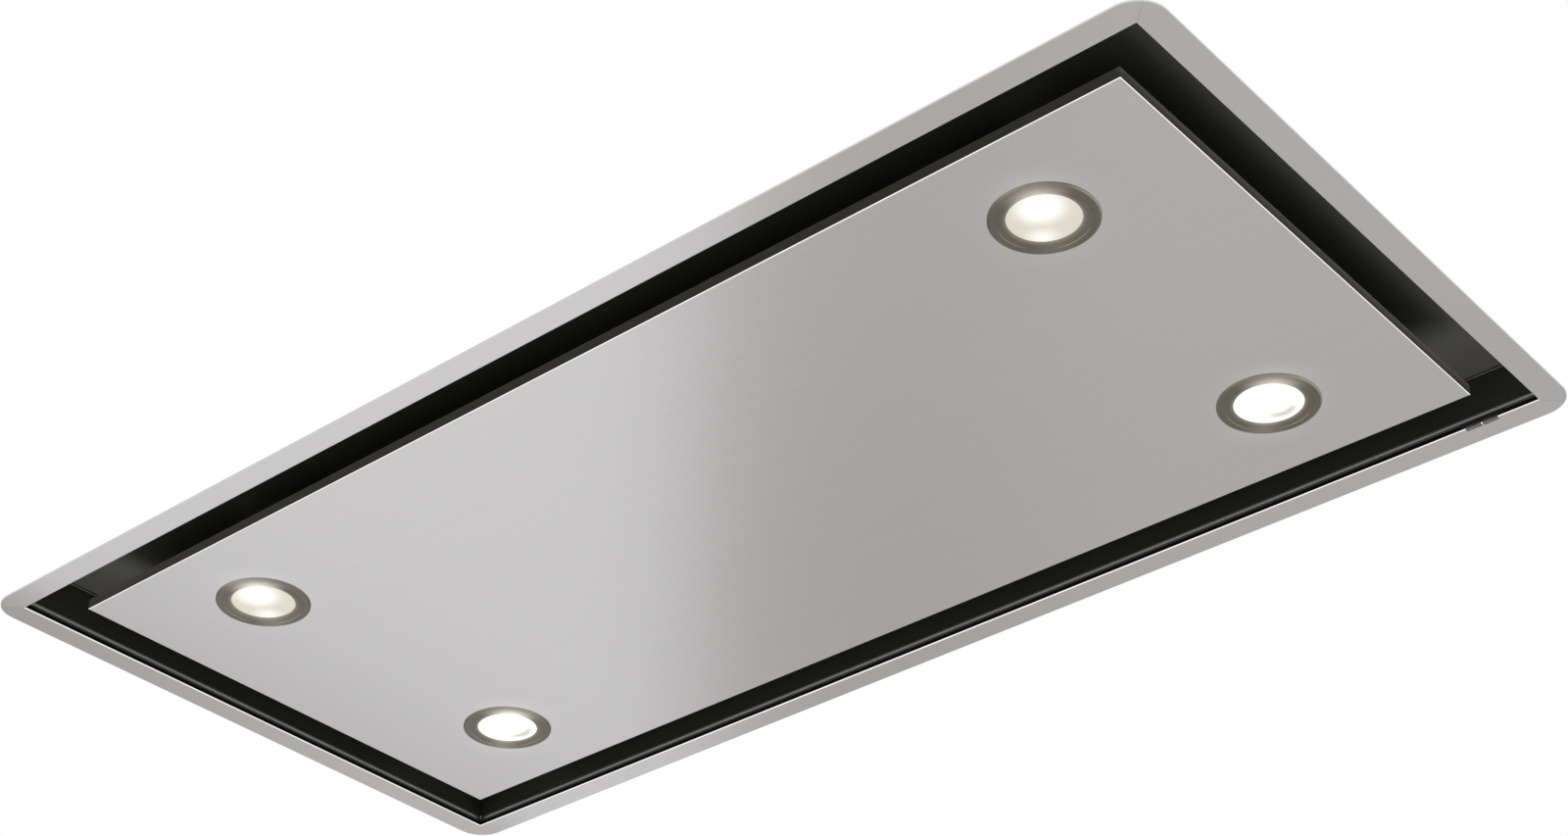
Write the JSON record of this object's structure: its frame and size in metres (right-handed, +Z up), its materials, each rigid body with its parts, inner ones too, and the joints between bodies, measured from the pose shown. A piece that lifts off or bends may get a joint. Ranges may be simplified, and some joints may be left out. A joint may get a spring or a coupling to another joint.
{
  "type": "integrated range hood",
  "caption": "Recessed ceiling range hood: a flush steel panel with round lamps hangs in a trim frame over a black recess, with grease filters, a blower and a duct spigot behind it.",
  "frame": {"origin": "centre of the trim frame, on the underside of its flange (the face that shows)", "axes": "+X along the hood, +Y across it towards the panel hinges and the receiver, +Z up towards the duct spigot"},
  "size_m": [1, 0.5, 0.3],
  "materials": {
    "trim_steel": "finely brushed satin steel",
    "panel_steel": "finely brushed satin steel",
    "seal_rubber": "matt foam rubber",
    "recess_black": "satin black powder coat",
    "galvanised_steel": "galvanised sheet",
    "receiver_black": "matt",
    "receiver_window": "gloss, dark infrared window",
    "hardware_steel": "zinc plated",
    "bezel_metal": "satin, fine turned lines",
    "lens_lit": "frosted, lit warm white",
    "heat_sink": "die cast",
    "catch_black": "matt",
    "filter_aluminium": "satin",
    "filter_net": "bright expanded net",
    "latch_black": "matt",
    "scroll_grey": "matt",
    "wheel_black": "matt",
    "motor_grey": "satin",
    "capacitor_white": "matt",
    "spigot_black": "matt",
    "flap_grey": "matt",
    "box_grey": "matt",
    "terminal_white": "matt",
    "driver_white": "matt",
    "gland_black": "matt"
  },
  "bodies": {
    "hood": {"trim_front": "trim_steel", "trim_rear": "trim_steel", "trim_left": "trim_steel", "trim_right": "trim_steel", "trim_seal": "seal_rubber", "collar_front": "recess_black", "collar_rear": "recess_black", "collar_left": "recess_black", "collar_right": "recess_black", "baffle_plate": "recess_black", "housing_front": "galvanised_steel", "housing_rear": "galvanised_steel", "housing_left": "galvanised_steel", "housing_right": "galvanised_steel", "housing_top": "galvanised_steel", "hanger_brackets": "galvanised_steel", "receiver_holder": "receiver_black", "receiver_windows": "receiver_window", "hinge_brackets": "hardware_steel", "hinge_pins": "hardware_steel", "catch_magnets": "catch_black", "filter_frame_left": "filter_aluminium", "filter_frame_right": "filter_aluminium", "filter_mesh_left": "filter_net", "filter_mesh_right": "filter_net", "scroll_left": "scroll_grey", "scroll_right": "scroll_grey", "motor": "motor_grey", "motor_bracket": "galvanised_steel", "run_capacitor": "capacitor_white", "outlet_spigot": "spigot_black", "flap_pin": "hardware_steel", "control_box": "box_grey", "control_lid": "box_grey", "terminal_block": "terminal_white", "lamp_driver": "driver_white", "cable_gland": "gland_black"},
    "panel": {"panel_tray": "panel_steel", "panel_stiffeners": "panel_steel", "hinge_leaves": "hardware_steel", "strike_plates": "hardware_steel", "light_bezel_1": "bezel_metal", "light_bezel_2": "bezel_metal", "light_bezel_3": "bezel_metal", "light_bezel_4": "bezel_metal", "light_lens_1": "lens_lit", "light_lens_2": "lens_lit", "light_lens_3": "lens_lit", "light_lens_4": "lens_lit", "light_body_1": "heat_sink", "light_body_2": "heat_sink", "light_body_3": "heat_sink", "light_body_4": "heat_sink"},
    "wheel": {"blower_wheel": "wheel_black", "motor_shaft": "hardware_steel"},
    "front_flap": {"flap_front": "flap_grey"},
    "rear_flap": {"flap_rear": "flap_grey"},
    "left_latch": {"filter_latch_left": "latch_black"},
    "right_latch": {"filter_latch_right": "latch_black"}
  },
  "joints": [
    {"name": "panel_hinge", "type": "hinge", "parent": "hood", "child": "panel", "pos_m": [0, 0.186, 0.0147], "axis": [1, 0, 0], "range_deg": [0, 90]},
    {"name": "wheel_spin", "type": "hinge", "parent": "hood", "child": "wheel", "pos_m": [0, -0.059, 0.152], "axis": [1, 0, 0], "continuous": true},
    {"name": "front_flap_hinge", "type": "hinge", "parent": "hood", "child": "front_flap", "pos_m": [0, 0, 0.2694], "axis": [-1, 0, 0], "range_deg": [0, 80]},
    {"name": "rear_flap_hinge", "type": "hinge", "parent": "hood", "child": "rear_flap", "pos_m": [0, 0, 0.2694], "axis": [1, 0, 0], "range_deg": [0, 80]},
    {"name": "left_latch_slide", "type": "slide", "parent": "hood", "child": "left_latch", "axis": [0, 1, 0], "range_m": [0, 0.005], "stiffness_N_per_m": 200, "springref_m": -0.005},
    {"name": "right_latch_slide", "type": "slide", "parent": "hood", "child": "right_latch", "axis": [0, 1, 0], "range_m": [0, 0.005], "stiffness_N_per_m": 200, "springref_m": -0.005}
  ]
}
